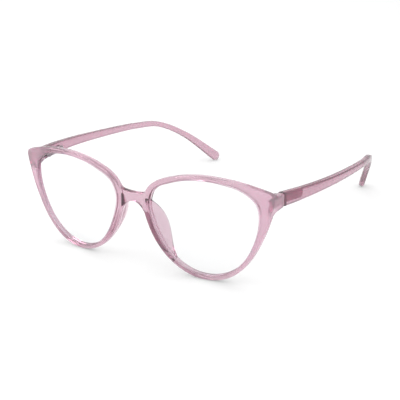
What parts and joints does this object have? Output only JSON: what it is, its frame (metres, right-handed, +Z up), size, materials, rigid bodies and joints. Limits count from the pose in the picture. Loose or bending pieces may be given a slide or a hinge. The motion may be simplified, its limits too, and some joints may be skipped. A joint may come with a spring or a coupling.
{
  "type": "blue light glasses",
  "caption": "Full-rim cat-eye glasses in translucent rose plastic with clear plano lenses, moulded nose pads and slim temples that fold on spring hinges.",
  "frame": {"origin": "on the table, under the middle of the open glasses", "axes": "+X to the wearer's left, +Y from the front back to the temple tips, +Z up"},
  "size_m": [0.1528, 0.1532, 0.0507],
  "materials": {
    "front_plastic": "glossy clear rose, injection moulded",
    "temple_plastic": "satin rose, slightly milky",
    "lens": "clear plastic with an anti-reflection coating",
    "hinge_metal": "plain grey metal",
    "screw_metal": "plain steel screw",
    "spring_metal": "spring wire"
  },
  "bodies": {
    "front": {"front_frame": "front_plastic", "lens_left": "lens", "lens_right": "lens", "front_hinge_leaf_left": "hinge_metal", "front_hinge_leaf_right": "hinge_metal", "hinge_screw_left": "screw_metal", "hinge_screw_right": "screw_metal"},
    "slider_left": {"hinge_slider_left": "hinge_metal", "rod_cap_left": "hinge_metal"},
    "arm_left": {"temple_left": "temple_plastic", "hinge_housing_left": "hinge_metal", "spring_stop_left": "hinge_metal", "hinge_spring_left": "spring_metal"},
    "slider_right": {"hinge_slider_right": "hinge_metal", "rod_cap_right": "hinge_metal"},
    "arm_right": {"temple_right": "temple_plastic", "hinge_housing_right": "hinge_metal", "spring_stop_right": "hinge_metal", "hinge_spring_right": "spring_metal"}
  },
  "joints": [
    {"name": "fold_left", "type": "hinge", "parent": "front", "child": "slider_left", "pos_m": [0.067, -0.05904, 0.04085], "axis": [0, 0, 1], "range_deg": [0, 86]},
    {"name": "flex_left", "type": "slide", "parent": "slider_left", "child": "arm_left", "axis": [0.1903, 0.979, -0.0732], "range_m": [0, 0.0012], "stiffness_N_per_m": 2500, "springref_m": -0.0004, "deforming": ["hinge_spring_left"]},
    {"name": "fold_right", "type": "hinge", "parent": "front", "child": "slider_right", "pos_m": [-0.067, -0.05904, 0.04085], "axis": [0, 0, -1], "range_deg": [0, 81]},
    {"name": "flex_right", "type": "slide", "parent": "slider_right", "child": "arm_right", "axis": [-0.1903, 0.979, -0.0732], "range_m": [0, 0.0012], "stiffness_N_per_m": 2500, "springref_m": -0.0004, "deforming": ["hinge_spring_right"]}
  ]
}
